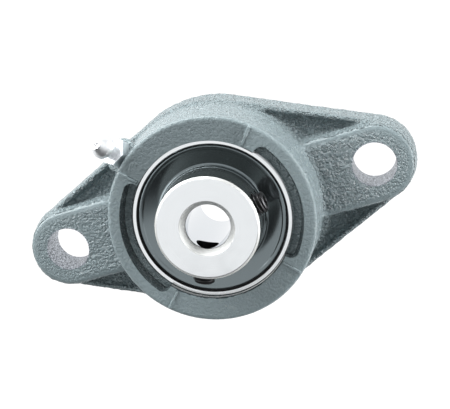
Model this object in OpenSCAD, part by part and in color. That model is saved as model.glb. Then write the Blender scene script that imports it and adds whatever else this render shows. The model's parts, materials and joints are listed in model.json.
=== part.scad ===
// Two-bolt flange mount bearing: cast housing with a self-aligning ball bearing insert.
// Frame: origin at the centre of the mounting face, +Z out of the front along the shaft,
// +X through one bolt hole. Millimetres.

/* [Flange] */
// Distance between the two bolt holes
bolt_spacing = 90; // [88:1:96]
// Diameter of each bolt hole
bolt_hole_d = 12; // [10:0.5:13]
// Diameter of the rounded ears
ear_d = 23; // [20:0.5:24]
// Thickness of the raised pad that joins the ears
pad_t = 12; // [11:0.5:13]
// Thickness of the webs beside the pad
web_t = 9; // [7:0.5:10]

/* [Boss] */
// Diameter of the boss where it meets the flange
boss_base_d = 60; // [59:0.5:62]
// Diameter of the boss just below its front edge
boss_front_d = 56.6; // [56:0.2:58]
// Distance from the mounting face to the front of the boss
housing_depth = 25.5; // [25.3:0.1:27]
// Size of the bevel round the front edge
front_bevel = 0.8; // [0.4:0.1:1]

/* [Seat] */
// Distance from the mounting face to the centre of the bearing
centre_z = 15; // [14.8:0.1:15.2]
// Diameter of the spherical seat's mating ball
seat_d = 47; // [47:1:47]
// Clearance between the seat and the outer ring, on the radius
seat_clearance = 0.025; // [0.01:0.005:0.05]
// Diameter of the opening in front of and behind the seat
seat_mouth_d = 43.5; // [43.2:0.1:44]
// Diameter of the relief in the mounting face
back_relief_d = 52; // [48:1:53]
// Depth of the relief in the mounting face
back_relief_depth = 4; // [2:0.5:5]

/* [Loading notches] */
// Angle that each notch covers
notch_angle = 84; // [60:2:88]
// Diameter across the notches at the front face
notch_mouth_d = 49.6; // [48:0.2:51]
// Diameter across the notches at their floor
notch_floor_d = 48; // [47.5:0.1:49]
// Depth of the notches below the front face
notch_depth = 3.2; // [2:0.2:4]

/* [Bearing insert] */
// Diameter of the bore that takes the shaft
bore_d = 12; // [10:1:15]
// Outside diameter of the inner ring
inner_ring_d = 28; // [27.6:0.1:28.4]
// Length of the inner ring
inner_ring_len = 31; // [30.5:0.5:32]
// Length of the inner ring behind the bearing centre
inner_ring_back = 12.7; // [12.4:0.1:13]
// Width of the outer ring
outer_ring_w = 17; // [16.8:0.1:17.4]
// Bevel at the ends of the inner ring, outside
ring_bevel = 1; // [0.4:0.1:1.2]
// Width of the lead-in at each end of the bore
bore_lead_in = 1.4; // [0.5:0.1:1.6]
// Depth of the lead-in at each end of the bore
bore_lead_depth = 2.2; // [0.5:0.1:2.4]

/* [Balls and cage] */
// Number of balls
ball_count = 8; // [8:1:8]
// Diameter of each ball
ball_d = 7.938; // [7.9:0.001:7.95]
// Diameter of the circle through the ball centres
pitch_d = 33.5; // [33.4:0.1:33.6]
// Clearance between a ball and each raceway
ball_clearance = 0.015; // [0.01:0.005:0.04]
// Thickness of the cage sheet
cage_t = 0.6; // [0.5:0.05:0.7]

/* [Set screws] */
// Diameter of the set screws
screw_d = 6; // [5:0.5:6]
// Length of the set screws
screw_len = 8; // [7.5:0.5:8]
// Distance from the front face of the inner ring to the set screws
screw_setback = 5; // [4.8:0.1:5.2]
// Distance from the shaft axis to the outer end of each set screw
screw_reach = 16.3; // [15.5:0.1:16.5]
// Direction of the first set screw, measured from +X
screw_angle = 7; // [0:1:20]

/* [Grease nipple] */
// Position of the nipple round the boss, measured from +X
nipple_position = 130; // [125:1:135]
// Distance from the shaft axis to the middle of the nipple's seat
nipple_reach = 30.3; // [30:0.1:31]
// Height of the nipple's seat above the mounting face
nipple_z = 20; // [19:0.5:21]
// Compass direction that the nipple points in, measured from +X
nipple_heading = 119; // [115:1:130]
// Angle of the nipple above the mounting face
nipple_tilt = 48; // [40:1:50]

/* [Hidden] */
$fn = 96;

through = 60;                        // longer than any cut through the part
past = 1;                            // how far a cut runs past a face
fit_gap = 0.05;                      // gap round a screw or a rivet

// Boss: it starts a little inside the flange, just within the flange's own outline
boss_foot = 0.5;
boss_foot_r = boss_base_d / 2 - 0.1;
notch_inner_r = seat_mouth_d / 2 - 2;

// Raceways: the groove radius is a little over the ball's
groove_r = 0.52 * ball_d;
pitch_r = pitch_d / 2;
inner_groove_centre = pitch_r - ball_d / 2 - ball_clearance + groove_r;
outer_groove_centre = pitch_r + ball_d / 2 + ball_clearance - groove_r;
ball_step = 360 / ball_count;

// Outer ring bore and the seats of its seals, measured from the bearing centre
outer_land_r = 19.4;
seal_seat_r = 20.5;
seal_seat_from = 5.9;
ring_face = outer_ring_w / 2;
grease_groove_dz = -4.6;
grease_groove_w = 2.2;
grease_groove_depth = 1.1;
grease_hole_d = 1.6;

// Seals
seal_gap = 0.03;
seal_t = 1.0;
shield_t = 0.4;
shield_r = [15.8, 19.8];
lip_taper = 0.8;
lip_bevel = 0.35;

// Flinger outline, from the ring outwards and back, as [radius, height above the bearing centre]
flinger_collar_r = 14.35;
flinger_collar_top = 8.6;
flinger_under = [[inner_ring_d / 2, 7.05], [14.9, 7.05], [18.4, 7.35], [18.9, 7.55], [19.4, 7.3]];
flinger_rim = [[20.1, 7.2], [20.1, 7.85], [19.85, 7.95], [19.55, 7.75]];
flinger_top = [[19.3, 7.85], [18.9, 8.1], [18.5, 7.9], [15, 7.5], [14.45, 7.7]];

// Cage
cage_r = [15.3, 18.2];
pocket_r = ball_d / 2 + 0.08;
rivet_r = 0.6;
rivet_head_r = 1.0;
rivet_head_t = 0.5;

// Set screws
screw_z = centre_z - inner_ring_back + inner_ring_len - screw_setback;
screw_spread = 120;
socket_af = 3;
socket_depth = 3;
point_bevel = 1.2;
point_flat = 0.5;
screw_edge = 0.4;

// Grease nipple, measured along its own axis from its seat
nipple_thread_d = 6;
nipple_thread_len = 5.5;
nipple_bevel = 0.5;
nipple_hex_af = 7;
nipple_hex_t = 3;
nipple_tip = 10;
nipple_neck_r = 2.25;
nipple_head = [[nipple_neck_r, 5.2], [3.25, 6.2], [3.25, 7.5], [2.9, 8.2], [1.9, 9.7], [1.6, nipple_tip]];
nipple_ball_r = 1.1;
nipple_ball_gap = 0.03;
nipple_bore_top = 2;
nipple_ball_at = 9.0;
nipple_mouth_r = 0.85;
nipple_bore_r = 1.25;
nipple_lug_d = 9.5;
nipple_lug_len = 8;
nipple_spotface_d = 8.8;
nipple_duct_d = 3;
nipple_duct_len = 14;
spring_wire_r = 0.14;
spring_r = 0.9;
spring_turns = 5;
spring_from = 3.2;
spring_gap = 0.1;
spring_sides = 6;
spring_steps = 60;

// Distance across the corners of a hexagon with the given distance across its flats
function across_corners(af) = af / cos(30);

// Outline made of the two ear circles and a central circle, joined by tangent lines
module rhombic_outline(centre_r, end_r, half_span) {
    tilt = asin((centre_r - end_r) / half_span);
    for (side = [-1, 1])
        translate([side * half_span, 0])
            circle(r = end_r);
    circle(r = centre_r);
    polygon([for (q = [[1, 1], [-1, 1], [-1, -1], [1, -1]])
             for (which = q[0] * q[1] > 0 ? [0, 1] : [1, 0])
                which == 0
                ? [q[0] * (half_span + end_r * sin(tilt)), q[1] * end_r * cos(tilt)]
                : [q[0] * centre_r * sin(tilt), q[1] * centre_r * cos(tilt)]]);
}

// Moves to the nipple's seat, with +Z along the nipple
module at_nipple() {
    translate([nipple_reach * cos(nipple_position), nipple_reach * sin(nipple_position), nipple_z])
        rotate([0, 90 - nipple_tilt, nipple_heading])
            children();
}

// Moves to a set screw's hole, with +Z pointing away from the shaft axis
module at_set_screw(angle) {
    translate([0, 0, screw_z])
        rotate([0, 90, angle])
            children();
}

// A ring turned from an outline given as [radius, height above the bearing centre]
module turned(outline) {
    translate([0, 0, centre_z])
        rotate_extrude()
            polygon(outline);
}

module housing_body() {
    linear_extrude(web_t)
        rhombic_outline(boss_base_d / 2, ear_d / 2, bolt_spacing / 2);
    linear_extrude(pad_t) {
        square([bolt_spacing, ear_d], center = true);
        for (side = [-1, 1])
            translate([side * bolt_spacing / 2, 0])
                circle(d = ear_d);
    }
    rotate_extrude()
        polygon([[0, boss_foot], [boss_foot_r, boss_foot],
                 [boss_front_d / 2, housing_depth - front_bevel],
                 [boss_front_d / 2 - front_bevel, housing_depth], [0, housing_depth]]);
    at_nipple()
        translate([0, 0, -nipple_lug_len])
            cylinder(d = nipple_lug_d, h = nipple_lug_len);
}

module loading_notch(direction) {
    rotate([0, 0, direction - notch_angle / 2])
        rotate_extrude(angle = notch_angle)
            polygon([[notch_inner_r, housing_depth - notch_depth],
                     [notch_floor_d / 2, housing_depth - notch_depth],
                     [notch_mouth_d / 2, housing_depth],
                     [notch_mouth_d / 2, housing_depth + past],
                     [notch_inner_r, housing_depth + past]]);
}

module housing() {
    color([0.44, 0.5, 0.52])
        difference() {
            housing_body();
            translate([0, 0, centre_z])
                sphere(r = seat_d / 2 + seat_clearance);
            translate([0, 0, -past])
                cylinder(d = seat_mouth_d, h = through);
            translate([0, 0, -past])
                cylinder(d = back_relief_d, h = back_relief_depth + past);
            for (side = [-1, 1])
                translate([side * bolt_spacing / 2, 0, -past])
                    cylinder(d = bolt_hole_d, h = through);
            loading_notch(0);
            loading_notch(180);
            at_nipple() {
                cylinder(d = nipple_spotface_d, h = through);
                translate([0, 0, -nipple_thread_len - nipple_bevel])
                    cylinder(d = nipple_thread_d + 2 * fit_gap, h = through);
                translate([0, 0, -nipple_duct_len])
                    cylinder(d = nipple_duct_d, h = nipple_duct_len);
            }
        }
}

module outer_ring() {
    groove_floor = seat_d / 2 - grease_groove_depth;
    groove_low = grease_groove_dz - grease_groove_w / 2;
    groove_high = grease_groove_dz + grease_groove_w / 2;
    color([0.78, 0.8, 0.8])
        difference() {
            intersection() {
                translate([0, 0, centre_z])
                    sphere(r = seat_d / 2);
                translate([0, 0, centre_z - ring_face])
                    cylinder(d = seat_d + 2 * past, h = outer_ring_w);
            }
            translate([0, 0, centre_z - through / 2])
                cylinder(r = outer_land_r, h = through);
            for (side = [0, 1])
                translate([0, 0, centre_z])
                    mirror([0, 0, side])
                        translate([0, 0, seal_seat_from])
                            cylinder(r = seal_seat_r, h = through);
            translate([0, 0, centre_z])
                rotate_extrude()
                    translate([outer_groove_centre, 0])
                        circle(r = groove_r);
            turned([[groove_floor, groove_low], [seat_d / 2 + past, groove_low],
                    [seat_d / 2 + past, groove_high], [groove_floor, groove_high]]);
            for (angle = [45, 225])
                translate([0, 0, centre_z + grease_groove_dz])
                    rotate([0, 90, angle])
                        cylinder(d = grease_hole_d, h = seat_d);
        }
}

module inner_ring() {
    back = -inner_ring_back;
    front = inner_ring_len - inner_ring_back;
    outside = inner_ring_d / 2;
    inside = bore_d / 2;
    color([0.82, 0.83, 0.85])
        difference() {
            turned([[inside, back + bore_lead_depth], [inside + bore_lead_in, back],
                    [outside - ring_bevel, back], [outside, back + ring_bevel],
                    [outside, front - ring_bevel], [outside - ring_bevel, front],
                    [inside + bore_lead_in, front], [inside, front - bore_lead_depth]]);
            translate([0, 0, centre_z])
                rotate_extrude()
                    translate([inner_groove_centre, 0])
                        circle(r = groove_r);
            for (turn = [0, -screw_spread])
                at_set_screw(screw_angle + turn)
                    cylinder(d = screw_d, h = through);
        }
}

module bearing_ball(number) {
    color([0.75, 0.76, 0.78])
        rotate([0, 0, (number - 1) * ball_step])
            translate([pitch_r, 0, centre_z])
                sphere(d = ball_d);
}

// One half of the pressed cage: a flat band that bulges round each ball
module cage_half(side) {
    color([0.62, 0.6, 0.55])
        translate([0, 0, centre_z])
            mirror([0, 0, side])
                difference() {
                    intersection() {
                        union() {
                            cylinder(r = cage_r[1] + past, h = cage_t);
                            for (i = [0 : ball_count - 1])
                                rotate([0, 0, i * ball_step])
                                    translate([pitch_r, 0, 0])
                                        sphere(r = pocket_r + cage_t);
                        }
                        cylinder(r = cage_r[1], h = ball_d);
                    }
                    translate([0, 0, -past])
                        cylinder(r = cage_r[0], h = through);
                    for (i = [0 : ball_count - 1])
                        rotate([0, 0, i * ball_step]) {
                            translate([pitch_r, 0, 0])
                                sphere(r = pocket_r);
                            rotate([0, 0, ball_step / 2])
                                translate([pitch_r, 0, -past])
                                    cylinder(r = rivet_r + fit_gap, h = through);
                        }
                }
}

module cage_rivets() {
    color([0.7, 0.68, 0.62])
        for (i = [0 : ball_count - 1])
            rotate([0, 0, (i + 0.5) * ball_step])
                translate([pitch_r, 0, centre_z]) {
                    translate([0, 0, -cage_t - rivet_head_t])
                        cylinder(r = rivet_r, h = 2 * (cage_t + rivet_head_t));
                    for (side = [0, 1])
                        mirror([0, 0, side])
                            translate([0, 0, cage_t])
                                cylinder(r = rivet_head_r, h = rivet_head_t);
                }
}

module seal_shield(side) {
    inset = seal_seat_from + (seal_t - shield_t) / 2;
    flip = 1 - 2 * side;
    color([0.55, 0.56, 0.58])
        turned([[shield_r[0], flip * inset], [shield_r[1], flip * inset],
                [shield_r[1], flip * (inset + shield_t)], [shield_r[0], flip * (inset + shield_t)]]);
}

module seal_lip(side) {
    lip_r = inner_ring_d / 2 + seal_gap;
    rim_r = seal_seat_r - 0.01;
    inset = (seal_t - shield_t) / 2;
    translate([0, 0, centre_z])
        mirror([0, 0, side])
            translate([0, 0, seal_seat_from])
                color([0.1, 0.1, 0.11])
                    rotate_extrude()
                        difference() {
                            polygon([[lip_r, lip_bevel], [lip_r + lip_taper, 0], [rim_r, 0],
                                     [rim_r, seal_t], [lip_r + lip_taper, seal_t],
                                     [lip_r, seal_t - lip_bevel]]);
                            translate([shield_r[0], inset])
                                square([shield_r[1] - shield_r[0], shield_t]);
                        }
}

// Dished steel disc on the inner ring, with a collar, a raised bead and a rolled rim
module flinger(side) {
    collar = [[flinger_collar_r, 8.2], [flinger_collar_r, flinger_collar_top],
              [inner_ring_d / 2, flinger_collar_top]];
    translate([0, 0, centre_z])
        mirror([0, 0, side])
            color([0.3, 0.34, 0.36])
                rotate_extrude()
                    polygon(concat(flinger_under, flinger_rim, flinger_top, collar));
}

module set_screw(turn) {
    screw_r = screw_d / 2 - fit_gap;
    point_r = screw_d / 2 - point_bevel;
    color([0.2, 0.2, 0.21])
        at_set_screw(screw_angle + turn)
            difference() {
                translate([0, 0, screw_reach - screw_len])
                    rotate_extrude()
                        polygon([[0, point_flat], [point_r - point_flat, 0], [point_r, 0],
                                 [screw_r, point_bevel - fit_gap], [screw_r, screw_len - screw_edge],
                                 [screw_r - screw_edge, screw_len], [0, screw_len]]);
                translate([0, 0, screw_reach - socket_depth])
                    cylinder(d = across_corners(socket_af), h = through, $fn = 6);
            }
}

module nipple_body() {
    thread_r = nipple_thread_d / 2;
    color([0.8, 0.81, 0.83])
        at_nipple()
            difference() {
                union() {
                    cylinder(d = across_corners(nipple_hex_af), h = nipple_hex_t, $fn = 6);
                    rotate_extrude()
                        polygon(concat([[0, nipple_tip], [0, -nipple_thread_len],
                                        [thread_r - nipple_bevel, -nipple_thread_len],
                                        [thread_r, nipple_bevel - nipple_thread_len],
                                        [thread_r, nipple_bevel], [nipple_neck_r, nipple_bevel]],
                                       nipple_head));
                }
                translate([0, 0, -through / 2])
                    cylinder(r = nipple_mouth_r, h = through);
                translate([0, 0, nipple_bore_top - through])
                    cylinder(r = nipple_bore_r, h = through);
                translate([0, 0, nipple_bore_top - past])
                    cylinder(r = nipple_bore_r, h = nipple_ball_at + past - nipple_bore_top);
                translate([0, 0, nipple_ball_at])
                    sphere(r = nipple_bore_r);
            }
}

module nipple_ball() {
    color([0.7, 0.72, 0.75])
        at_nipple()
            translate([0, 0, nipple_ball_at + nipple_bore_r - nipple_ball_r - nipple_ball_gap])
                sphere(r = nipple_ball_r);
}

// Point on the spring's helix, and the ring of points that its wire has there
function spring_ring(t, rise, sides) =
    [for (k = [0 : sides - 1])
        let (a = 360 * spring_turns * t,
             r = spring_r + spring_wire_r * cos(360 * k / sides))
        [r * cos(a), r * sin(a), spring_from + rise * t + spring_wire_r * sin(360 * k / sides)]];

module nipple_spring() {
    sides = spring_sides;
    steps = spring_steps;
    rise = nipple_ball_at - nipple_ball_r - spring_gap - spring_from;
    last = steps * sides;
    color([0.6, 0.6, 0.6])
        at_nipple()
            polyhedron(
                points = [for (i = [0 : steps]) each spring_ring(i / steps, rise, sides)],
                faces = [[for (k = [0 : sides - 1]) k],
                         for (i = [0 : steps - 1])
                             for (k = [0 : sides - 1])
                                 let (n = (k + 1) % sides)
                                 each [[i * sides + k, (i + 1) * sides + k, (i + 1) * sides + n],
                                       [i * sides + k, (i + 1) * sides + n, i * sides + n]],
                         [for (k = [0 : sides - 1]) last + sides - 1 - k]]);
}

housing();
outer_ring();
inner_ring();
bearing_ball(1);  // ball_1
bearing_ball(2);  // ball_2
bearing_ball(3);  // ball_3
bearing_ball(4);  // ball_4
bearing_ball(5);  // ball_5
bearing_ball(6);  // ball_6
bearing_ball(7);  // ball_7
bearing_ball(8);  // ball_8
cage_half(0);  // cage_front
cage_half(1);  // cage_rear
cage_rivets();
seal_shield(0);  // seal_shield_front
seal_shield(1);  // seal_shield_rear
seal_lip(0);  // seal_lip_front
seal_lip(1);  // seal_lip_rear
flinger(0);  // flinger_front
flinger(1);  // flinger_rear
set_screw(0);  // set_screw_1
set_screw(-screw_spread);  // set_screw_2
nipple_body();
nipple_ball();
nipple_spring();
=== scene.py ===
"""Two-bolt flange mount bearing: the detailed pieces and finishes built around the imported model."""
import json
import math

import bmesh
import bpy
from mathutils import Matrix, Vector


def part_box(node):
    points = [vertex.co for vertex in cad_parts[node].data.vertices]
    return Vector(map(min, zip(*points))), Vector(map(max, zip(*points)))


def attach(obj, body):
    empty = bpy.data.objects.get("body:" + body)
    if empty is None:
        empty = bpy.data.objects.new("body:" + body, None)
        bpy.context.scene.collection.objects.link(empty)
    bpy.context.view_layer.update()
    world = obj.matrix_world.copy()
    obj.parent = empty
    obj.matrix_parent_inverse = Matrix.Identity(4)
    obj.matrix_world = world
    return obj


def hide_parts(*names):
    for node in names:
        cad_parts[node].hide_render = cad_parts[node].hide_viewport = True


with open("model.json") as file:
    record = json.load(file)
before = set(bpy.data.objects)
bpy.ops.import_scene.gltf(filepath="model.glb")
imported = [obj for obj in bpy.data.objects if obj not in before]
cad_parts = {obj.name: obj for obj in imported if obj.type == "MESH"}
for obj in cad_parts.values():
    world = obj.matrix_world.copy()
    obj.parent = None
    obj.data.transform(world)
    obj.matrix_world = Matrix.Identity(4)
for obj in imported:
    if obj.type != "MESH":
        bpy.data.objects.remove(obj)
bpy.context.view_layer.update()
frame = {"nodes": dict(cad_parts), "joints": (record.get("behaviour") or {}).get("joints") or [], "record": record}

# ------------------------------------------------------------------ sizes, in millimetres
MM = 0.001
mounts = {mount["name"]: mount for mount in frame["record"]["mounts"]}
axes = {joint["name"]: Vector(joint["axis"]) for joint in frame["joints"]}
housing_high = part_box("housing")[1] / MM
ring_low, ring_high = (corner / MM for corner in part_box("inner_ring"))
race_low, race_high = (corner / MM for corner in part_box("outer_ring"))

BOLT_X = mounts["bolt_holes"]["dims"]["spacing_x_mm"] / 2
BOLT_R = mounts["bolt_holes"]["dims"]["hole_r_mm"]
BORE_R = mounts["shaft_bore"]["dims"]["r_mm"]
CENTRE_Z = mounts["shaft_bore"]["pos_m"][2] / MM
LEAD_DEPTH = (ring_high.z - ring_low.z - mounts["shaft_bore"]["dims"]["length_mm"]) / 2
LEAD_WIDTH = 1.4
BOSS_R = housing_high.y
EAR_R = housing_high.x - BOLT_X
FRONT = housing_high.z
PAD_TOP = 12
WEB_TOP = 9
WEB_RIM = 0.6
WEB_SINK = 1.7
SEAT_R = 23.525
MOUTH_R = 21.75
RELIEF_R = 26
RELIEF_TOP = 4
NOTCH_HALF = 42
NOTCH_FLOOR = FRONT - 3.2
NOTCH_FLOOR_R = 24.0
NOTCH_MOUTH_R = 24.9
PANEL_AT = 93.5
PANEL_HALF = 42.5
PANEL_SINK = 0.35
SCREW_R = 3
SCREW_LENGTH = 8
SCREW_REACH = 16.3
SCREW_Z = ring_high.z - 5
NIPPLE_LENGTH = 10
GROOVE_R = 4.128
INNER_GROOVE_R = 16.894
OUTER_GROOVE_R = 16.606


# ------------------------------------------------------------------ modelling helpers
def pick(*pieces):
    """Deselects all, then selects these pieces and makes the first one active."""
    bpy.ops.object.select_all(action="DESELECT")
    for piece in pieces:
        piece.select_set(True)
    bpy.context.view_layer.objects.active = pieces[0]


def edit(piece, mode="FACE"):
    """Opens the piece in edit mode with nothing selected."""
    pick(piece)
    bpy.ops.object.mode_set(mode="EDIT")
    bpy.ops.mesh.select_mode(type=mode)
    bpy.ops.mesh.select_all(action="DESELECT")


def close():
    bpy.ops.object.mode_set(mode="OBJECT")


def choose_faces(piece, test):
    """Selects the faces whose middle, in millimetres, and normal pass the test."""
    mesh = bmesh.from_edit_mesh(piece.data)
    for face in mesh.faces:
        face.select_set(bool(test(face.calc_center_median() / MM, face.normal)))
    bmesh.update_edit_mesh(piece.data)


def choose_edges(piece, test):
    """Selects the edges whose two ends, in millimetres, pass the test."""
    mesh = bmesh.from_edit_mesh(piece.data)
    for edge in mesh.edges:
        edge.select_set(bool(test(edge.verts[0].co / MM, edge.verts[1].co / MM)))
    bmesh.update_edit_mesh(piece.data)


def tidy_normals():
    """Merges doubles and points the faces outwards, in edit mode."""
    bpy.ops.mesh.select_all(action="SELECT")
    bpy.ops.mesh.remove_doubles(threshold=0.002 * MM)
    bpy.ops.mesh.normals_make_consistent(inside=False)


def apply_modifier(piece, kind, **settings):
    """Adds a modifier with these settings and applies it."""
    modifier = piece.modifiers.new(kind.lower(), kind)
    for name, value in settings.items():
        setattr(modifier, name, value)
    pick(piece)
    bpy.ops.object.modifier_apply(modifier=modifier.name)


def combine(piece, tool, operation):
    """Cuts the tool from the piece, adds it, or keeps what they share. The tool is used up."""
    apply_modifier(piece, "BOOLEAN", operation=operation, object=tool, solver="MANIFOLD")
    bpy.data.objects.remove(tool)


def joined(name, *pieces):
    pick(*pieces)
    bpy.ops.object.join()
    pieces[0].name = name
    return pieces[0]


def disc(name, x, low, high, low_r, high_r, sides=96):
    """A round plug between two heights, with a radius for each end."""
    bpy.ops.mesh.primitive_cone_add(
        vertices=sides, radius1=low_r * MM, radius2=high_r * MM, depth=(high - low) * MM,
        location=(x * MM, 0, (low + high) / 2 * MM))
    piece = bpy.context.object
    piece.name = name
    bpy.ops.object.transform_apply()
    return piece


def block(name, middle, size):
    bpy.ops.mesh.primitive_cube_add(size=MM, location=Vector(middle) * MM)
    piece = bpy.context.object
    piece.name = name
    piece.scale = size
    bpy.ops.object.transform_apply()
    return piece


def hulled(name, *pieces):
    """The pieces wrapped in one tight skin."""
    piece = joined(name, *pieces)
    edit(piece)
    bpy.ops.mesh.select_all(action="SELECT")
    bpy.ops.mesh.convex_hull()
    bpy.ops.mesh.dissolve_limited(angle_limit=math.radians(0.5))
    close()
    return piece


def round_top(piece, high, offset):
    """Bevels the edges round the flat top of a piece."""
    edit(piece)
    choose_faces(piece, lambda middle, normal: normal.z > 0.999 and middle.z > high - 0.1)
    bpy.ops.mesh.region_to_loop()
    bpy.ops.mesh.bevel(offset=offset * MM, segments=4, affect="EDGES")
    close()


def arc(middle_r, middle_z, radius, start, end, steps=8):
    """Points of a round stretch in an outline, from one angle to another in degrees."""
    angles = [math.radians(start + (end - start) * k / steps) for k in range(steps + 1)]
    return [(middle_r + radius * math.cos(a), middle_z + radius * math.sin(a)) for a in angles]


def rounded(corners, steps=4):
    """The points of an outline whose corners are (radius, height, fillet)."""
    points = []
    for i, (r, z, fillet) in enumerate(corners):
        corner = Vector((r, z))
        if not fillet:
            points.append(corner)
            continue
        before = (Vector(corners[i - 1][:2]) - corner).normalized()
        after = (Vector(corners[(i + 1) % len(corners)][:2]) - corner).normalized()
        half = before.angle(after) / 2
        middle = corner + (before + after).normalized() * fillet / math.sin(half)
        first = corner + before * fillet / math.tan(half)
        last = corner + after * fillet / math.tan(half)
        for k in range(steps + 1):
            spoke = first.lerp(last, k / steps) - middle
            points.append(middle + spoke.normalized() * fillet)
    return points


def outline_face(name, outline):
    """A flat face in the XZ plane with this outline, left in edit mode and selected."""
    bpy.ops.mesh.primitive_plane_add(size=MM)
    piece = bpy.context.object
    piece.name = name
    bpy.ops.object.mode_set(mode="EDIT")
    bpy.ops.mesh.select_mode(type="VERT")
    bpy.ops.mesh.select_all(action="SELECT")
    bpy.ops.mesh.merge(type="CENTER")
    place = Vector((0, 0))
    for number, point in enumerate(outline):
        step = Vector(point) - place
        move = (step.x * MM, 0, step.y * MM)
        if number:
            bpy.ops.mesh.extrude_vertices_move(TRANSFORM_OT_translate={"value": move})
        else:
            bpy.ops.transform.translate(value=move)
        place = Vector(point)
    bpy.ops.mesh.select_all(action="SELECT")
    bpy.ops.mesh.edge_face_add()
    return piece


def turned(name, outline, steps=160):
    """A solid of revolution about the shaft axis, from an outline of (radius, height)."""
    piece = outline_face(name, outline)
    bpy.ops.mesh.delete(type="ONLY_FACE")
    bpy.ops.mesh.select_all(action="SELECT")
    bpy.ops.mesh.spin(steps=steps, angle=math.tau, center=(0, 0, 0), axis=(0, 0, 1))
    tidy_normals()
    close()
    return piece


def sector(name, outline, middle, half, steps=40):
    """Part of a solid of revolution, on both sides of a direction in degrees."""
    piece = outline_face(name, outline)
    bpy.ops.mesh.spin(steps=steps, angle=math.radians(2 * half), center=(0, 0, 0), axis=(0, 0, 1))
    tidy_normals()
    close()
    piece.rotation_euler.z = math.radians(middle + half)
    pick(piece)
    bpy.ops.object.transform_apply()
    return piece


def set_along(piece, foot, direction):
    """Stands a piece made along +Z on a foot point, in metres, along a direction."""
    piece.rotation_euler = (0, math.acos(direction.z), math.atan2(direction.y, direction.x))
    piece.location = foot
    pick(piece)
    bpy.ops.object.transform_apply()
    return piece


def smooth(piece, angle=40):
    pick(piece)
    bpy.ops.object.shade_smooth_by_angle(angle=math.radians(angle))


def radius_of(point):
    return math.hypot(point.x, point.y)


def assign(piece, slot, rule):
    """Gives the faces that pass the rule the material in this slot, in edit mode."""
    choose_faces(piece, rule)
    piece.active_material_index = slot
    bpy.ops.object.material_slot_assign()


# ------------------------------------------------------------------ the pieces
def flange_plate(name, top, boss_r, ear_r):
    """The rhombic outline as a drafted plate: a hull round the boss and the two ears."""
    low = -1.5  # below the mounting face, to be cut flat later
    middle = disc(name, 0, low, top, BOSS_R, boss_r, sides=160)
    ears = [disc("ear", side * BOLT_X, low, top, EAR_R, ear_r) for side in (-1, 1)]
    return hulled(name, middle, *ears)


def casting_web():
    """The low plate that joins boss and ears, with a raised rim round its top."""
    web = flange_plate("web", WEB_TOP, BOSS_R - 0.3, EAR_R - 0.2)
    round_top(web, WEB_TOP, 0.7)
    edit(web)
    choose_faces(web, lambda middle, normal: normal.z > 0.999)
    bpy.ops.mesh.inset(thickness=WEB_RIM * MM)
    bpy.ops.mesh.inset(thickness=WEB_RIM * MM, depth=-WEB_SINK * MM)
    close()
    return web


def casting_pad():
    """The raised pads round the bolt holes, as one bar that runs through the boss."""
    ends = [disc("pad", side * BOLT_X, 5, PAD_TOP, EAR_R + 0.2, EAR_R - 0.7) for side in (-1, 1)]
    pad = hulled("pad", *ends)
    round_top(pad, PAD_TOP, 1.1)
    return pad


def casting_boss():
    """The round boss, with a shallow sunk panel at the top of its front."""
    boss = disc("boss", 0, 0.5, FRONT, BOSS_R - 0.1, BOSS_R - 1.8, sides=200)
    round_top(boss, FRONT, 0.6)
    inner, outer, floor = 20, 35, FRONT - PANEL_SINK
    panel = [(inner, floor), (outer, floor), (outer, FRONT + 1), (inner, FRONT + 1)]
    combine(boss, sector("sunk_panel", panel, PANEL_AT, PANEL_HALF), "DIFFERENCE")
    return boss


def loading_notch(direction):
    """Cutter for one loading notch, drafted, with rounded corners in plan."""
    inner = 18
    notch = sector("notch", [(inner, NOTCH_FLOOR), (NOTCH_FLOOR_R, NOTCH_FLOOR), (NOTCH_MOUTH_R, FRONT),
                             (NOTCH_MOUTH_R + 0.9, FRONT + 1), (inner, FRONT + 1)],
                   direction, NOTCH_HALF)
    turn = Matrix.Rotation(math.radians(-direction), 3, "Z")
    edit(notch, "EDGE")

    def is_corner(a, b):
        ends = [turn @ a, turn @ b]
        steep = abs(a.z - b.z) > 0.5 and min(radius_of(a), radius_of(b)) > NOTCH_FLOOR_R - 0.1
        return steep and all(abs(math.degrees(math.atan2(p.y, p.x))) > NOTCH_HALF - 1 for p in ends)

    choose_edges(notch, is_corner)
    bpy.ops.mesh.bevel(offset=2.4 * MM, segments=6, affect="EDGES")
    close()
    return notch


def flare(name, foot_r, foot_z, radius, low):
    """A concave skirt round the boss, which becomes its fillet."""
    inside = 20
    outline = [(inside, low), (foot_r + radius, low)]
    outline += arc(foot_r + radius, foot_z + radius, radius, 270, 180)
    return turned(name, outline + [(inside, foot_z + radius)])


def casting_flares():
    """The fillets between the boss and what it stands on: one on the webs and one on the pads."""
    web_flare = flare("web_flare", BOSS_R - 0.9, WEB_TOP - 1.2, 1.8, 4)
    combine(web_flare, flange_plate("clip", 20, BOSS_R - 0.6, EAR_R), "INTERSECT")
    pad_flare = flare("pad_flare", BOSS_R - 1.1, PAD_TOP, 1.4, 8)
    combine(pad_flare, block("clip", (0, 0, 15), (90, 21, 30)), "INTERSECT")
    return web_flare, pad_flare


def casting_lug():
    """The round lug that carries the grease nipple."""
    seat, direction = nipple_seat()
    return set_along(disc("lug", 0, -8, 0, 4.75, 4.75), seat, direction)


def nipple_seat():
    """Where the nipple's hexagon sits, in metres, and the way it points."""
    direction = Vector(mounts["grease_nipple"]["axis"])
    return Vector(mounts["grease_nipple"]["pos_m"]) - direction * NIPPLE_LENGTH * MM, direction


def weigh(piece, name, rule):
    """A vertex group whose weight follows a rule of place."""
    group = piece.vertex_groups.new(name=name)
    for vertex in piece.data.vertices:
        group.add([vertex.index], rule(vertex.co / MM, vertex.normal), "REPLACE")
    return name


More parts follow.
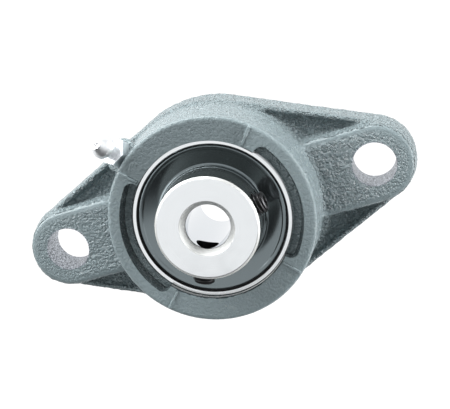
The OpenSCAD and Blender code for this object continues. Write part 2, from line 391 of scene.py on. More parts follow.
def sand_depth(place, normal):
    """How deep the sand's grain shows: faint on the front of the boss, full on the webs."""
    if radius_of(place) < BOSS_R - 1 and place.z > FRONT - 0.9:
        return 0.1
    if place.z > NOTCH_FLOOR - 1 and radius_of(place) < 25.2:
        return 0.55
    if PAD_TOP - 0.9 < place.z < PAD_TOP + 0.9 and normal.z > 0.6:
        past_bolt = max(abs(place.x) - BOLT_X, 0)
        from_edge = EAR_R - 0.7 - math.hypot(past_bolt, place.y)
        fade = min(max((from_edge - 0.9) / 1.6, 0.08), 1)
        return fade * min(max(1.9 - abs(place.x) / 32, 0.35), 1) * (1 if place.x > 0 else 0.5)
    if place.z > PAD_TOP:
        return 0.4
    return 1.0 if normal.z > 0.5 else 0.7


def panel_shade_depth(place, normal):
    """How much painted shade darkens the paint: on the sunk panel at the top of the boss."""
    bearing = math.degrees(math.atan2(place.y, place.x))
    on_front = FRONT - 0.6 < place.z and radius_of(place) < BOSS_R - 2.6
    return 0.3 if on_front and abs(bearing - PANEL_AT) < PANEL_HALF - 1 else 0.0


def roughen(piece, name, feature, depth, group):
    """Pushes the skin in and out by cloud noise, where the group allows it."""
    clouds = bpy.data.textures.new(name, "CLOUDS")
    clouds.noise_scale = feature * MM
    clouds.noise_depth = 2
    apply_modifier(piece, "DISPLACE", texture=clouds, texture_coords="LOCAL",
                   strength=depth * MM, mid_level=0.5, vertex_group=group)


def seat_cutter():
    """The relief in the back, the ball seat and the mouth, as one turned cutter."""
    reach = math.degrees(math.acos(MOUTH_R / SEAT_R))
    return turned("seat_cutter", [
        (0, -3), (RELIEF_R, -3), (RELIEF_R, RELIEF_TOP), (MOUTH_R, RELIEF_TOP),
        *arc(0, CENTRE_Z, SEAT_R, -reach, reach, 16),
        (MOUTH_R, FRONT - 0.3), (MOUTH_R + 0.3, FRONT), (MOUTH_R + 0.3, FRONT + 2), (0, FRONT + 2)])


def bolt_cutter(side):
    """A bolt hole, with its lower edge broken."""
    edge = 0.35
    cutter = turned("bolt_cutter", [
        (0, -3), (BOLT_R + edge, -3), (BOLT_R + edge, 0), (BOLT_R, edge),
        (BOLT_R, PAD_TOP + 2), (0, PAD_TOP + 2)], 96)
    cutter.location.x = side * BOLT_X * MM
    pick(cutter)
    bpy.ops.object.transform_apply()
    return cutter


def nipple_cutter():
    """The nipple's tapped hole, its grease way, and the flat that its hexagon sits on."""
    seat, direction = nipple_seat()
    cutter = turned("nipple_cutter", [(0, -14), (1.5, -14), (1.5, -6), (3.05, -6), (3.05, -0.4),
                                      (3.4, 0), (4.4, 0), (4.4, 12), (0, 12)], 64)
    return set_along(cutter, seat, direction)


def front_rib(angle):
    """A raised line across the front of the boss, left by the pattern."""
    inner, outer = MOUTH_R + 0.4, BOSS_R - 2.2
    rib = block("rib", ((inner + outer) / 2, 0, FRONT - 0.2), (outer - inner, 0.9, 1))
    edit(rib, "EDGE")
    choose_edges(rib, lambda a, b: min(a.z, b.z) > FRONT)
    bpy.ops.mesh.bevel(offset=0.25 * MM, segments=3, affect="EDGES")
    close()
    rib.rotation_euler.z = math.radians(angle)
    pick(rib)
    bpy.ops.object.transform_apply()
    return rib


def paint_casting(piece):
    """Paint all over, and bare iron where the casting was machined."""
    seat, direction = nipple_seat()
    piece.data.materials.clear()
    piece.data.materials.append(enamel())
    drilled = bare_iron("drilled_iron", (0.09, 0.105, 0.125), (0.66, 0.7, 0.76), 0.4)
    turned_seat = bare_iron("turned_iron", (0.6, 0.61, 0.6), (0.78, 0.79, 0.78), 0.25)
    for material in (drilled, turned_seat):
        piece.data.materials.append(material)

    def machined(middle, normal):
        hole = math.hypot(abs(middle.x) - BOLT_X, middle.y)
        across = (middle - seat / MM).cross(direction).length
        if normal.z < -0.9 and middle.z < RELIEF_TOP + 0.1:
            return True
        if hole < BOLT_R + 0.2:
            return True
        if normal.z > 0.9:
            return False
        if radius_of(middle) < SEAT_R + 0.05 and middle.z < FRONT - 0.35:
            return radius_of(middle) < MOUTH_R + 0.05 or middle.z < NOTCH_FLOOR - 0.5
        if radius_of(middle) < RELIEF_R + 0.05 and middle.z < RELIEF_TOP:
            return True
        return across < 3.5 and radius_of(middle) < 31

    def bored(middle, normal):
        in_seat = middle.z > RELIEF_TOP and radius_of(middle) < SEAT_R + 0.05
        return in_seat and machined(middle, normal)

    edit(piece)
    assign(piece, 1, machined)
    assign(piece, 2, bored)
    close()


def make_housing():
    """The rough casting as one skin, then its ribs, its notches and all that is machined."""
    parts = [casting_boss(), casting_web(), casting_pad(), *casting_flares(), casting_lug()]
    casting = joined("housing_casting", *parts)
    apply_modifier(casting, "REMESH", mode="VOXEL", voxel_size=0.35 * MM)
    apply_modifier(casting, "SMOOTH", factor=0.5, iterations=5)
    group = weigh(casting, "sand", sand_depth)
    roughen(casting, "uneven", 7, 0.35, group)
    roughen(casting, "sand_lumps", 1.3, 0.5, group)
    casting.vertex_groups.clear()
    for angle in (51, 136, -132, -47):
        combine(casting, front_rib(angle), "UNION")
    for direction in (0, 180):
        combine(casting, loading_notch(direction), "DIFFERENCE")
    combine(casting, block("floor_cutter", (0, 0, -5), (200, 200, 10)), "DIFFERENCE")
    for cutter in (seat_cutter(), bolt_cutter(-1), bolt_cutter(1), nipple_cutter()):
        combine(casting, cutter, "DIFFERENCE")
    paint_casting(casting)
    smooth(casting, 55)
    # The first attribute sets the sand grain's depth; the second holds painted shade for the sunk panel.
    for name, rule in (("sand", sand_depth), ("painted_shade", panel_shade_depth)):
        values = casting.data.attributes.new(name, "FLOAT", "POINT").data
        for vertex, value in zip(casting.data.vertices, values):
            value.value = rule(vertex.co / MM, vertex.normal)
    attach(casting, "housing")
    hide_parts("housing")


def make_outer_ring():
    """Outer ring: spherical outside with a grease groove and two holes, and the seal seats."""
    half = (race_high.z - race_low.z) / 2
    ball_r = race_high.x
    face_r = math.sqrt(ball_r ** 2 - half ** 2)
    land_r, seal_r, seal_from = 19.4, 20.5, 5.9
    groove_z, groove_half, groove_depth = -4.6, 1.1, 1.1
    groove = [groove_z - groove_half, groove_z + groove_half]
    shell = math.degrees(math.asin(half / ball_r))
    slot_low, slot_high = (math.degrees(math.asin(z / ball_r)) for z in groove)
    lip = math.degrees(math.asin(math.sqrt(GROOVE_R ** 2 - (land_r - OUTER_GROOVE_R) ** 2) / GROOVE_R))
    outline = [(face_r - 0.35, -half), *arc(0, 0, ball_r, 0.8 - shell, slot_low, 6),
               (ball_r - groove_depth, groove[0]), (ball_r - groove_depth, groove[1]),
               *arc(0, 0, ball_r, slot_high, shell - 0.8, 14),
               (face_r - 0.35, half), (seal_r + 0.2, half), (seal_r, half - 0.2),
               (seal_r, seal_from), (land_r, seal_from),
               *arc(OUTER_GROOVE_R, 0, GROOVE_R, lip, -lip, 16),
               (land_r, -seal_from), (seal_r, -seal_from), (seal_r, 0.2 - half),
               (seal_r + 0.2, -half)]
    ring = turned("outer_race", [(r, z + CENTRE_Z) for r, z in outline], 192)
    for angle in (45, 225):
        hole = disc("grease_hole", 0, 0, 30, 0.8, 0.8, sides=32)
        direction = Vector((math.cos(math.radians(angle)), math.sin(math.radians(angle)), 0))
        combine(ring, set_along(hole, Vector((0, 0, CENTRE_Z + groove_z)) * MM, direction), "DIFFERENCE")
    ring.data.materials.clear()
    ring.data.materials.append(ground_steel())
    smooth(ring, 30)
    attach(ring, "outer_ring")
    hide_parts("outer_ring")


def make_inner_ring():
    """Inner ring: lead-ins at the bore, the raceway and the two set-screw holes."""
    back, front = ring_low.z, ring_high.z
    outside, edge = ring_high.x, 0.6
    reach = math.sqrt(GROOVE_R ** 2 - (INNER_GROOVE_R - outside) ** 2)
    lip = 180 - math.degrees(math.asin(reach / GROOVE_R))
    groove = [(r, z, 0) for r, z in arc(INNER_GROOVE_R, CENTRE_Z, GROOVE_R, 360 - lip, lip, 16)]
    outline = rounded([
        (BORE_R, back + LEAD_DEPTH, 0.5), (BORE_R + LEAD_WIDTH, back, 0.2),
        (outside - edge, back, 0.15), (outside, back + edge, 0.15), *groove,
        (outside, front - edge, 0.15), (outside - edge, front, 0.15),
        (outside - edge - 0.3, front, 0), (BORE_R + LEAD_WIDTH + 0.4, front, 0),
        (BORE_R + LEAD_WIDTH, front, 0.2), (BORE_R, front - LEAD_DEPTH, 0.5)])
    ring = turned("inner_race", outline, 192)
    for name in ("set_screw_1_travel", "set_screw_2_travel"):
        hole = turned("screw_hole", [(0, 0), (SCREW_R, 0), (SCREW_R, outside - 0.5),
                                     (SCREW_R + 0.5, outside + 0.1), (SCREW_R + 0.5, 20), (0, 20)], 64)
        foot = Vector((0, 0, SCREW_Z)) * MM
        combine(ring, set_along(hole, foot, axes[name]), "DIFFERENCE")
    ring.data.materials.clear()
    ring.data.materials.append(ground_steel())
    screw_ways = [axes[name] for name in ("set_screw_1_travel", "set_screw_2_travel")]
    level = Vector((0, 0, SCREW_Z))

    def is_bore(middle, normal):
        return radius_of(middle) < BORE_R + 0.005

    def is_wall(middle, normal):
        return radius_of(middle) > outside - 0.1 or BORE_R + 0.005 < radius_of(middle) < BORE_R + 0.12

    def is_screw_hole(middle, normal):
        beside = min((middle - level).cross(way).length for way in screw_ways)
        return beside < SCREW_R + 0.05 and BORE_R < radius_of(middle) < outside - 0.2

    def is_chamfer(middle, normal):
        return 0.3 < abs(normal.z) < 0.95 and not is_wall(middle, normal)

    finishes = ((bright_bore(), is_bore), (satin_chamfer(), is_chamfer), (dark_painted_wall_steel(), is_wall),
                (black_oxide(), is_screw_hole))
    edit(ring)
    for number, (material, rule) in enumerate(finishes, 1):
        ring.data.materials.append(material)
        assign(ring, number, rule)
    close()
    smooth(ring, 30)
    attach(ring, "inner_ring")
    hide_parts("inner_ring")


def make_flinger(node, side):
    """Pressed disc: a collar on the ring, a dished web, a rounded bead and a rolled rim."""
    rim_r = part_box(node)[1].x / MM
    collar_r = ring_high.x
    pressed = rounded([
        (collar_r, 6.85, 0.1), (15.1, 6.85, 0.6), (18.3, 7.35, 0.4), (18.85, 7.5, 0.3),
        (19.4, 7.35, 0.3), (rim_r, 7.3, 0.25), (rim_r, 8.16, 0.3), (19.1, 7.96, 0.3),
        (18.8, 7.86, 0.3), (15.1, 7.25, 0.6), (14.4, 7.4, 0.4), (14.35, 8.6, 0.15),
        (collar_r, 8.6, 0.05)])
    disc_piece = turned(node + "_disc", [(r, CENTRE_Z + side * z) for r, z in pressed], 192)
    disc_piece.data.materials.clear()
    disc_piece.data.materials.append(dark_coating())
    smooth(disc_piece, 50)
    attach(disc_piece, "inner_ring")
    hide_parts(node)


def threaded_rod(name, major_r, pitch, length):
    """A rod with a real screw thread, cut flat at both ends."""
    depth = 0.61 * pitch
    profile = [(major_r - depth, 0), (major_r, 0.42 * pitch), (major_r, 0.55 * pitch),
               (major_r - depth, 0.97 * pitch), (major_r - depth, pitch)]
    rod = outline_face(name, profile)
    bpy.ops.mesh.delete(type="ONLY_FACE")
    ends = {0.0, round(pitch, 6)}
    choose_edges(rod, lambda a, b: {round(a.z, 6), round(b.z, 6)} == ends)
    bpy.ops.mesh.delete(type="EDGE")
    close()
    turns = math.ceil(length / pitch) + 2
    apply_modifier(rod, "SCREW", angle=math.tau, screw_offset=pitch * MM, iterations=turns,
                   steps=48, render_steps=48, use_normal_calculate=True)
    edit(rod)
    tidy_normals()
    start = 1.03 * pitch  # a little off the profile's seam, so that the cut crosses faces
    for height, keep_up in ((start, True), (start + length, False)):
        bpy.ops.mesh.select_all(action="SELECT")
        bpy.ops.mesh.bisect(plane_co=(0, 0, height * MM), plane_no=(0, 0, 1),
                            clear_inner=keep_up, clear_outer=not keep_up)
        bpy.ops.mesh.edge_face_add()
    tidy_normals()
    bpy.ops.mesh.select_all(action="SELECT")
    bpy.ops.transform.translate(value=(0, 0, -start * MM))
    close()
    return rod


def make_set_screw(number):
    """Set screw with a thread, a bevelled head end, a cup point and a hexagon socket."""
    node = f"set_screw_{number}"
    screw = threaded_rod(node + "_threaded", SCREW_R - 0.06, 1, SCREW_LENGTH)
    blank = turned("blank", [(0, 0.6), (1.2, 0), (1.6, 0), (SCREW_R, 1.3), (SCREW_R, SCREW_LENGTH - 0.5),
                             (SCREW_R - 0.6, SCREW_LENGTH), (0, SCREW_LENGTH)], 64)
    combine(screw, blank, "INTERSECT")
    socket_r, socket_depth = 1.73, 3
    socket = disc("socket", 0, SCREW_LENGTH - socket_depth, SCREW_LENGTH + 1, socket_r, socket_r, sides=6)
    combine(screw, socket, "DIFFERENCE")
    countersink = turned("countersink", [(0, SCREW_LENGTH - 1.2), (1.95, SCREW_LENGTH + 0.2),
                                         (0, SCREW_LENGTH + 0.2)], 48)
    combine(screw, countersink, "DIFFERENCE")
    direction = axes[node + "_travel"]
    foot = Vector((0, 0, SCREW_Z)) * MM + direction * (SCREW_REACH - SCREW_LENGTH) * MM
    set_along(screw, foot, direction)
    screw.data.materials.clear()
    screw.data.materials.append(black_oxide())
    smooth(screw, 35)
    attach(screw, node)
    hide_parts(node)


def make_nipple():
    """Grease nipple: shank, chamfered hexagon, neck and rounded head, bored through."""
    shank = turned("nipple_fitting", rounded([
        (1.25, -5.5, 0), (2.5, -5.5, 0), (3, -5, 0), (3, 0.5, 0), (2.3, 0.8, 0.2),
        (2.25, 5.0, 0.5), (3.25, 6.1, 0.35), (3.25, 7.5, 0.35), (2.85, 8.3, 0.4), (1.95, 9.6, 0.3),
        (1.75, 10, 0.12), (1.0, 10, 0.1), (0.85, 9.8, 0), (0.85, 9.6, 0), (1.25, 9.0, 0)]), 96)
    hexagon = disc("hexagon", 0, 0, 3, 4.04, 4.04, sides=6)
    chamfer = turned("chamfer", [(1.25, -0.1), (3.6, -0.1), (4.1, 0.25), (4.1, 2.75), (3.5, 3.1),
                                 (1.25, 3.1)], 96)
    combine(hexagon, chamfer, "INTERSECT")
    combine(shank, hexagon, "UNION")
    seat, direction = nipple_seat()
    set_along(shank, seat, direction)
    shank.data.materials.clear()
    shank.data.materials.append(zinc_plate())
    smooth(shank, 35)
    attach(shank, "housing")
    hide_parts("nipple_body")


# ------------------------------------------------------------------ shader node groups
def add_node(tree, kind, **inputs):
    """Adds a node and sets its inputs: a value is set, and a socket is linked."""
    node = tree.nodes.new("ShaderNode" + kind)
    for name, value in inputs.items():
        socket = node.inputs[int(name[1:]) if name[0] == "_" else name.replace("_", " ")]
        if isinstance(value, bpy.types.NodeSocket):
            tree.links.new(value, socket)
        else:
            socket.default_value = value
    return node


def sum_of(tree, operation, first, second, clamp=False):
    """One arithmetic step on two values or sockets."""
    node = add_node(tree, "Math", _0=first, _1=second)
    node.operation = operation
    node.use_clamp = clamp
    return node.outputs[0]


def spread(tree, value, low, high, to_low=0.0, to_high=1.0):
    """Maps a range of values onto another, and stops at its ends."""
    node = add_node(tree, "MapRange", Value=value, From_Min=low, From_Max=high,
                    To_Min=to_low, To_Max=to_high)
    return node.outputs[0]


def axis_distance(tree, x, y):
    """How far a place is from the shaft axis."""
    squares = sum_of(tree, "ADD", sum_of(tree, "MULTIPLY", x, x), sum_of(tree, "MULTIPLY", y, y))
    return sum_of(tree, "SQRT", squares, 0.0)


def new_group(name, inputs, outputs):
    """An empty node group with named number inputs and outputs."""
    group = bpy.data.node_groups.new(name, "ShaderNodeTree")
    kind = "NodeSocketFloat"
    for label, value in inputs.items():
        socket = group.interface.new_socket(label, in_out="INPUT", socket_type=kind)
        socket.default_value = value
    for label in outputs:
        group.interface.new_socket(label, in_out="OUTPUT", socket_type=kind)
    return group, group.nodes.new("NodeGroupInput"), group.nodes.new("NodeGroupOutput")


def build_cast_grain():
    """Fine sand grain under paint, with larger soft stains."""
    group, given, out = new_group("cast_grain", {"Size": 1.0}, ["Height", "Stain"])
    place = group.nodes.new("ShaderNodeTexCoord").outputs["Object"]
    scale = sum_of(group, "DIVIDE", 1000.0, given.outputs["Size"])
    grain = add_node(group, "TexNoise", Vector=place, Scale=scale, Detail=3.0, Roughness=0.6)
    wide = sum_of(group, "DIVIDE", scale, 9.0)
    stain = add_node(group, "TexNoise", Vector=place, Scale=wide, Detail=4.0, Roughness=0.65)
    group.links.new(grain.outputs[0], out.inputs["Height"])
    group.links.new(spread(group, stain.outputs[0], 0.35, 0.65), out.inputs["Stain"])
    return group


def build_sand_lumps():
    """Lumps left by coarse sand, with dark pits between them."""
    group, given, out = new_group("sand_lumps", {"Size": 1.0}, ["Height", "Pit"])
    place = group.nodes.new("ShaderNodeTexCoord").outputs["Object"]
    scale = sum_of(group, "DIVIDE", 1000.0, given.outputs["Size"])
    lumps = add_node(group, "TexNoise", Vector=place, Scale=scale, Detail=2.0, Distortion=0.15).outputs[0]
    group.links.new(spread(group, lumps, 0.36, 0.58), out.inputs["Height"])
    group.links.new(spread(group, lumps, 0.51, 0.43), out.inputs["Pit"])
    return group


def build_edge_and_hollow_masks():
    """Masks of outward edges, used for wear and for painted edge highlights, and of hollows, used for painted
    shade.
    """
    group, given, out = new_group("edge_and_hollow_masks", {"Reach": 0.06}, ["Edge", "Hollow"])
    place = group.nodes.new("ShaderNodeTexCoord").outputs["Object"]
    point = group.nodes.new("ShaderNodeNewGeometry").outputs["Pointiness"]
    breakup = add_node(group, "TexNoise", Vector=place, Scale=700.0, Detail=3.0).outputs[0]
    loose = sum_of(group, "MULTIPLY_ADD", breakup, 0.03)
    shifted = sum_of(group, "ADD", point, sum_of(group, "SUBTRACT", loose, 0.015))
    high = sum_of(group, "ADD", 0.52, given.outputs["Reach"])
    low = sum_of(group, "SUBTRACT", 0.49, given.outputs["Reach"])
    group.links.new(spread(group, shifted, 0.52, high), out.inputs["Edge"])
    group.links.new(spread(group, shifted, 0.49, low), out.inputs["Hollow"])
    return group


def build_lathe_lines():
    """Concentric tool marks about the shaft axis, broken up a little."""
    group, given, out = new_group("lathe_lines", {"Spacing": 0.1}, ["Height", "Sheen"])
    place = group.nodes.new("ShaderNodeTexCoord").outputs["Object"]
    split = add_node(group, "SeparateXYZ", Vector=place)
    radius = axis_distance(group, split.outputs[0], split.outputs[1])
    pace = sum_of(group, "DIVIDE", 1000.0, given.outputs["Spacing"])
    ring_number = sum_of(group, "MULTIPLY", radius, pace)
    lines = group.nodes.new("ShaderNodeTexNoise")
    lines.noise_dimensions = "1D"
    lines.inputs["Scale"].default_value = 1.0
    group.links.new(ring_number, lines.inputs["W"])
    patches = add_node(group, "TexNoise", Vector=place, Scale=220.0, Detail=2.0)
    group.links.new(lines.outputs[0], out.inputs["Height"])
    group.links.new(patches.outputs[0], out.inputs["Sheen"])
    return group


def build_specks():
    """A few small specks of dust or chips."""
    group, given, out = new_group("specks", {"Spacing": 2.0, "Size": 0.08}, ["Speck"])
    place = group.nodes.new("ShaderNodeTexCoord").outputs["Object"]
    scale = sum_of(group, "DIVIDE", 1000.0, given.outputs["Spacing"])
    cells = add_node(group, "TexVoronoi", Vector=place, Scale=scale, Randomness=1.0)
    lucky = add_node(group, "SeparateColor", Color=cells.outputs["Color"]).outputs[0]
    size = sum_of(group, "MULTIPLY", given.outputs["Size"], lucky)
    near = sum_of(group, "LESS_THAN", cells.outputs["Distance"], size)
    chosen = sum_of(group, "GREATER_THAN", lucky, 0.72)
    group.links.new(sum_of(group, "MULTIPLY", near, chosen), out.inputs["Speck"])
    return group


GROUPS = {"cast_grain": build_cast_grain(), "sand_lumps": build_sand_lumps(),
          "edge_and_hollow_masks": build_edge_and_hollow_masks(), "lathe_lines": build_lathe_lines(),
          "specks": build_specks()}


# ------------------------------------------------------------------ finishes
def new_finish(name, colour, metallic, roughness, **sockets):
    """A material with these plain values; returns it with its tree and shader."""
    material = bpy.data.materials.new(name)
    material.use_nodes = True
    tree = material.node_tree
    shader = tree.nodes["Principled BSDF"]
    shader.inputs["Base Color"].default_value = (*colour, 1)
    shader.inputs["Metallic"].default_value = metallic
    shader.inputs["Roughness"].default_value = roughness
    for label, value in sockets.items():
        shader.inputs[label.replace("_", " ")].default_value = value
    return material, tree, shader


def use_group(tree, name, **inputs):
    node = tree.nodes.new("ShaderNodeGroup")
    node.node_tree = GROUPS[name]
    for label, value in inputs.items():
        node.inputs[label].default_value = value
    return node.outputs


def blend_colours(tree, amount, first, second):
    """One colour over another, by a mask."""
    node = tree.nodes.new("ShaderNodeMix")
    node.data_type = "RGBA"
    for socket, value in ((node.inputs[0], amount), (node.inputs[6], first), (node.inputs[7], second)):
        if isinstance(value, bpy.types.NodeSocket):
            tree.links.new(value, socket)
        else:
            socket.default_value = value if isinstance(value, float) else (*value, 1)
    return node.outputs[2]


def add_bump(tree, shader, height, distance):
    bump = add_node(tree, "Bump", Height=height, Distance=distance * MM, Strength=1.0)
    tree.links.new(bump.outputs[0], shader.inputs["Normal"])


def attribute(tree, name):
    """A number painted on the mesh's points."""
    node = tree.nodes.new("ShaderNodeAttribute")
    node.attribute_name = name
    return node.outputs["Fac"]


def enamel():
    """Blue-grey gloss enamel over rough cast iron."""
    material, tree, shader = new_finish("blue_grey_enamel", (0.072, 0.104, 0.109), 0.0, 0.25, IOR=1.5)
    sand = attribute(tree, "sand")
    fine = use_group(tree, "cast_grain", Size=0.3)
    lumps = use_group(tree, "sand_lumps", Size=0.8)
    edges_and_hollows = use_group(tree, "edge_and_hollow_masks", Reach=0.08)
    specks = use_group(tree, "specks", Spacing=3.2, Size=0.05)
    stained = blend_colours(tree, fine["Stain"], (0.066, 0.096, 0.101), (0.078, 0.112, 0.118))
    in_notch, painted_shade = notch_light_and_shade(tree)
    # Painted light: the notch floors get a lighter paint colour to offset the shade they sit in.
    stained = blend_colours(tree, in_notch, stained, (0.115, 0.16, 0.168))
    # Painted shade: the pits between the sand lumps darkened nearly to black.
    pit_shade = sum_of(tree, "MULTIPLY", lumps["Pit"], sand)
    pit_shaded = blend_colours(tree, pit_shade, stained, (0.007, 0.011, 0.013))
    # Painted shade from the notch walls and from the sunk panel together.
    painted_shade = sum_of(tree, "MAXIMUM", painted_shade, attribute(tree, "painted_shade"))
    # Painted shade: the hollows are darkened by their pointiness, except in the notches.
    hollow_shade = sum_of(tree, "MULTIPLY", edges_and_hollows["Hollow"], sum_of(tree, "SUBTRACT", 1.0, in_notch))
    hollow = blend_colours(tree, hollow_shade, pit_shaded, (0.025, 0.036, 0.04))
    # Worn, thinner paint on the outward edges, lighter, which also serves as a painted highlight along them.
    edged = blend_colours(tree, edges_and_hollows["Edge"], hollow, (0.22, 0.275, 0.29))
    # Painted shade: the notch walls and the sunk panel darkened.
    notch_and_panel_shaded = blend_colours(tree, painted_shade, edged, (0.018, 0.027, 0.03))
    chipped = blend_colours(tree, specks["Speck"], notch_and_panel_shaded, (0.4, 0.42, 0.41))
    tree.links.new(chipped, shader.inputs["Base Color"])
    tree.links.new(spread(tree, fine["Stain"], 0, 1, 0.18, 0.3), shader.inputs["Roughness"])
    rough = sum_of(tree, "MULTIPLY", lumps["Height"], sand)
    relief = sum_of(tree, "ADD", rough, sum_of(tree, "MULTIPLY", fine["Height"], 0.16))
    add_bump(tree, shader, relief, 0.8)
    return material


def notch_light_and_shade(tree):
    """Masks of the loading notches, whose floors get a lighter paint as painted light, and of their steep walls,
    which get painted shade.
    """
    place = add_node(tree, "SeparateXYZ", Vector=tree.nodes.new("ShaderNodeTexCoord").outputs["Object"])
    facing = add_node(tree, "SeparateXYZ", Vector=tree.nodes.new("ShaderNodeNewGeometry").outputs["Normal"])
    x, y, z = place.outputs
    away = axis_distance(tree, x, y)
    steep = spread(tree, facing.outputs[2], 0.9, 0.6)
    inside = spread(tree, away, (BOSS_R - 4.6) * MM, (BOSS_R - 4.9) * MM)
    above = spread(tree, z, (NOTCH_FLOOR - 0.3) * MM, NOTCH_FLOOR * MM)
    in_notch = sum_of(tree, "MULTIPLY", inside, above)
    return in_notch, sum_of(tree, "MULTIPLY", in_notch, sum_of(tree, "MULTIPLY", steep, 0.85))


def bare_iron(name, dark, light, roughness):
    """Machined cast iron: grey, with tool marks and open grain."""
    material, tree, shader = new_finish(name, light, 1.0, roughness)
    lines = use_group(tree, "lathe_lines", Spacing=0.25)
    grain = use_group(tree, "cast_grain", Size=0.4)
    open_grain = spread(tree, grain["Height"], 0.42, 0.6)
    tree.links.new(blend_colours(tree, open_grain, dark, light), shader.inputs["Base Color"])
    sheen = spread(tree, grain["Height"], 0.3, 0.7, roughness + 0.1, roughness)
    tree.links.new(sheen, shader.inputs["Roughness"])
    add_bump(tree, shader, sum_of(tree, "ADD", lines["Height"], grain["Height"]), 0.08)
    return material


def steel(name, colour, low, high, spacing, depth, metallic=1.0):
    """Turned or ground steel with fine tool lines and uneven sheen."""
    material, tree, shader = new_finish(name, colour, metallic, low)
    lines = use_group(tree, "lathe_lines", Spacing=spacing)
    edges_and_hollows = use_group(tree, "edge_and_hollow_masks", Reach=0.1)
    tree.links.new(spread(tree, lines["Sheen"], 0.35, 0.65, low, high), shader.inputs["Roughness"])
    darker = tuple(0.82 * c for c in colour)
    shade = blend_colours(tree, edges_and_hollows["Hollow"], colour, tuple(0.5 * c for c in colour))
    tinted = blend_colours(tree, spread(tree, lines["Height"], 0.3, 0.6), darker, colour)
    tree.links.new(blend_colours(tree, 0.5, shade, tinted), shader.inputs["Base Color"])
    add_bump(tree, shader, lines["Height"], depth)
    return material


def ground_steel():
    return steel("ground_steel", (0.85, 0.865, 0.875), 0.08, 0.13, 0.12, 0.0006)


def bright_bore():
    return steel("bright_bore", (0.7, 0.73, 0.76), 0.05, 0.1, 0.3, 0.0004)


def satin_chamfer():
    return steel("satin_chamfer", (0.55, 0.56, 0.55), 0.45, 0.52, 0.3, 0.0004, metallic=0.35)


# Painted dark reflection on the inner ring's outer wall, and a painted shade line on the fillet at the bore's
# edge.
def dark_painted_wall_steel():
    return steel("ring_wall_painted_dark", (0.13, 0.145, 0.14), 0.2, 0.3, 0.12, 0.002)


def dark_coating():
    """Dark semi-gloss coating on pressed steel, with a few specks of dust."""
    coat = (0.13, 0.165, 0.175)
    material, tree, shader = new_finish("dark_coating", coat, 0.9, 0.14)
    lines = use_group(tree, "lathe_lines", Spacing=0.35)
    edges_and_hollows = use_group(tree, "edge_and_hollow_masks", Reach=0.08)
    specks = use_group(tree, "specks", Spacing=1.7, Size=0.045)
    edged = blend_colours(tree, edges_and_hollows["Edge"], coat, (0.18, 0.21, 0.22))
    dusty = blend_colours(tree, specks["Speck"], edged, (0.6, 0.6, 0.58))
    tree.links.new(dusty, shader.inputs["Base Color"])
    tree.links.new(spread(tree, lines["Sheen"], 0.3, 0.7, 0.11, 0.15), shader.inputs["Roughness"])
    add_bump(tree, shader, lines["Height"], 0.0005)
    return material


def black_oxide():
    """Blackened steel with bright worn crests."""
    material, tree, shader = new_finish("black_oxide", (0.035, 0.035, 0.037), 0.8, 0.35)
    edges_and_hollows = use_group(tree, "edge_and_hollow_masks", Reach=0.12)
    grain = use_group(tree, "cast_grain", Size=0.2)
    shade = blend_colours(tree, edges_and_hollows["Edge"], (0.02, 0.02, 0.022), (0.05, 0.05, 0.052))
    tree.links.new(shade, shader.inputs["Base Color"])
    tree.links.new(spread(tree, grain["Height"], 0.3, 0.7, 0.28, 0.45), shader.inputs["Roughness"])
    add_bump(tree, shader, grain["Height"], 0.01)
    return material


def zinc_plate():
    """Bright zinc plate, slightly cloudy."""
    material, tree, shader = new_finish("zinc_plate", (0.88, 0.89, 0.9), 1.0, 0.35)
    grain = use_group(tree, "cast_grain", Size=0.5)
    edges_and_hollows = use_group(tree, "edge_and_hollow_masks", Reach=0.1)
    shade = blend_colours(tree, edges_and_hollows["Hollow"], (0.82, 0.84, 0.86), (0.4, 0.41, 0.42))
    tree.links.new(shade, shader.inputs["Base Color"])
    tree.links.new(spread(tree, grain["Stain"], 0, 1, 0.36, 0.46), shader.inputs["Roughness"])
    add_bump(tree, shader, grain["Height"], 0.004)
    return material


def small_part(name, colour, metallic, low, high, size, depth):
    """A plain finish for an inner piece: cloudy roughness, fine grain and dark hollows."""
    material, tree, shader = new_finish(name, colour, metallic, low)
    grain = use_group(tree, "cast_grain", Size=size)
    edges_and_hollows = use_group(tree, "edge_and_hollow_masks", Reach=0.1)
    shade = blend_colours(tree, edges_and_hollows["Hollow"], colour, tuple(0.5 * c for c in colour))
    stained = blend_colours(tree, grain["Stain"], shade, tuple(0.85 * c for c in colour))
    tree.links.new(stained, shader.inputs["Base Color"])
    tree.links.new(spread(tree, grain["Height"], 0.3, 0.7, low, high), shader.inputs["Roughness"])
    add_bump(tree, shader, grain["Height"], depth)
    return material


def finish_cad_nodes():
    """New finishes for the inner pieces, whose shapes come from the model as they are."""
    ball = small_part("polished_ball", (0.82, 0.83, 0.84), 1.0, 0.04, 0.09, 0.6, 0.0003)
    cage = small_part("pressed_cage", (0.58, 0.55, 0.48), 1.0, 0.26, 0.42, 0.4, 0.004)
    rivet = small_part("rivet_steel", (0.62, 0.6, 0.56), 1.0, 0.22, 0.4, 0.3, 0.004)
    shield = small_part("stamped_shield", (0.5, 0.51, 0.52), 1.0, 0.25, 0.4, 0.4, 0.003)
    rubber = small_part("seal_rubber", (0.022, 0.022, 0.024), 0.0, 0.5, 0.65, 0.25, 0.01)
    wire = small_part("spring_wire", (0.55, 0.55, 0.56), 1.0, 0.2, 0.35, 0.2, 0.002)
    wanted = {"ball_": ball, "cage_front": cage, "cage_rear": cage, "cage_rivets": rivet,
              "seal_shield": shield, "seal_lip": rubber, "nipple_spring": wire, "nipple_ball": ball}
    for name, node in frame["nodes"].items():
        for start, material in wanted.items():
            if name.startswith(start):
                node.data.materials.clear()
                node.data.materials.append(material)


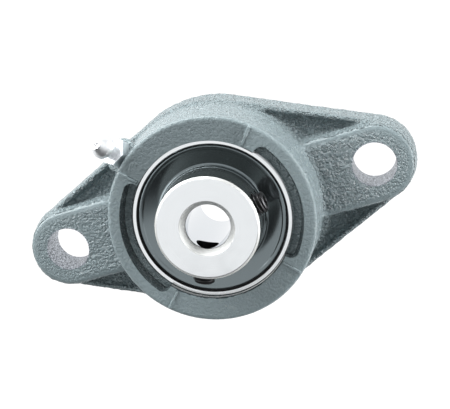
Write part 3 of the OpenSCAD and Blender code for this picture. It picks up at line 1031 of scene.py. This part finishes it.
# ------------------------------------------------------------------ studio
def aimed(place, target, up):
    """The transform of a camera or light at a place, aimed at a target."""
    toward = (place - target).normalized()
    right = up.cross(toward).normalized()
    rows = Matrix((right, toward.cross(right), toward))
    return Matrix.Translation(place) @ rows.transposed().to_4x4()


def make_camera():
    place = Vector((67.6, 71.4, 335.1)) * MM
    target = Vector((2.3, 0.3, 12)) * MM
    turn = math.radians(17.63)
    lens = bpy.data.cameras.new("camera")
    lens.lens = 97.3
    lens.sensor_width = 36
    lens.clip_start = 0.01
    camera = bpy.data.objects.new("camera", lens)
    camera.matrix_world = aimed(place, target, Vector((math.sin(turn), math.cos(turn), 0)))
    bpy.context.scene.collection.objects.link(camera)
    bpy.context.scene.camera = camera


def softbox(name, direction, distance, width, height, radiance):
    """A flat soft light that faces the part. Its brightness is given as seen, not as power."""
    light = bpy.data.lights.new(name, "AREA")
    light.shape = "RECTANGLE"
    light.size = width
    light.size_y = height
    light.energy = radiance * math.pi * width * height
    lamp = bpy.data.objects.new(name, light)
    toward = Vector(direction).normalized()
    up = Vector((0, 1, 0)) if toward.z > 0.7 else Vector((0, 0, 1))
    lamp.matrix_world = aimed(toward * distance, Vector(), up)
    lamp.visible_camera = False
    bpy.context.scene.collection.objects.link(lamp)


def make_world():
    """Even soft light all round, and a bright tent above that is seen only in reflections."""
    world = bpy.data.worlds.new("studio")
    world.use_nodes = True
    sky = world.node_tree
    soft = sky.nodes["Background"]
    soft.inputs[0].default_value = (0.9, 0.95, 1, 1)
    soft.inputs[1].default_value = 0.12
    way = add_node(sky, "SeparateXYZ", Vector=sky.nodes.new("ShaderNodeTexCoord").outputs["Generated"])
    rise = spread(sky, way.outputs[2], 0.0, 0.4, 0.1, 0.52)
    open_side = spread(sky, way.outputs[1], -0.38, -0.3, 0.06, 1.0)
    glow = sum_of(sky, "MULTIPLY", rise, open_side)
    tent = add_node(sky, "Background", Color=(0.95, 0.98, 1, 1), Strength=glow)
    shiny = sky.nodes.new("ShaderNodeLightPath").outputs["Is Glossy Ray"]
    both = add_node(sky, "MixShader", _0=shiny, _1=soft.outputs[0], _2=tent.outputs[0])
    sky.links.new(both.outputs[0], sky.nodes["World Output"].inputs[0])
    bpy.context.scene.world = world


def make_lights():
    """Soft boxes: where each stands from the part, how far off, its sides and its brightness."""
    softbox("key_box", (-0.35, 0.85, 0.22), 0.8, 1.3, 0.35, 11.5)
    softbox("left_box", (-0.7, 0.3, 0.75), 0.9, 0.5, 0.5, 2.2)
    softbox("top_box", (-0.2, 0.08, 1), 1.1, 1.0, 0.85, 0.5)
    softbox("high_box", (0.55, -0.1, 0.8), 1.0, 0.6, 0.5, 1)
    softbox("right_box", (1, -0.1, 0.12), 0.9, 1.0, 0.2, 18)
    softbox("low_fill", (0.5, -0.85, 0.4), 1.0, 0.7, 0.4, 2.5)


def make_floor():
    """A pale floor, evenly bright to look at and in reflections, that also bounces soft light."""
    bpy.ops.mesh.primitive_plane_add(size=4)
    floor = bpy.context.object
    floor.name = "floor"
    edit(floor)
    bpy.ops.mesh.select_all(action="SELECT")
    bpy.ops.mesh.subdivide(number_cuts=3)
    close()
    material, tree, shader = new_finish("pale_floor", (0.9, 0.9, 0.9), 0.0, 0.9)
    path = tree.nodes.new("ShaderNodeLightPath").outputs["Is Diffuse Ray"]
    glow = tree.nodes.new("ShaderNodeEmission")
    glow.inputs[0].default_value = (1, 1, 1, 1)
    glow.inputs[1].default_value = 1.1
    mix = add_node(tree, "MixShader", _0=path)
    tree.links.new(glow.outputs[0], mix.inputs[1])
    tree.links.new(shader.outputs[0], mix.inputs[2])
    tree.links.new(mix.outputs[0], tree.nodes["Material Output"].inputs[0])
    floor.data.materials.append(material)


make_camera()
make_world()
make_lights()
make_floor()
bpy.context.scene.view_settings.view_transform = "Standard"
make_housing()
make_outer_ring()
make_inner_ring()
make_flinger("flinger_front", 1)
make_flinger("flinger_rear", -1)
make_set_screw(1)
make_set_screw(2)
make_nipple()
finish_cad_nodes()
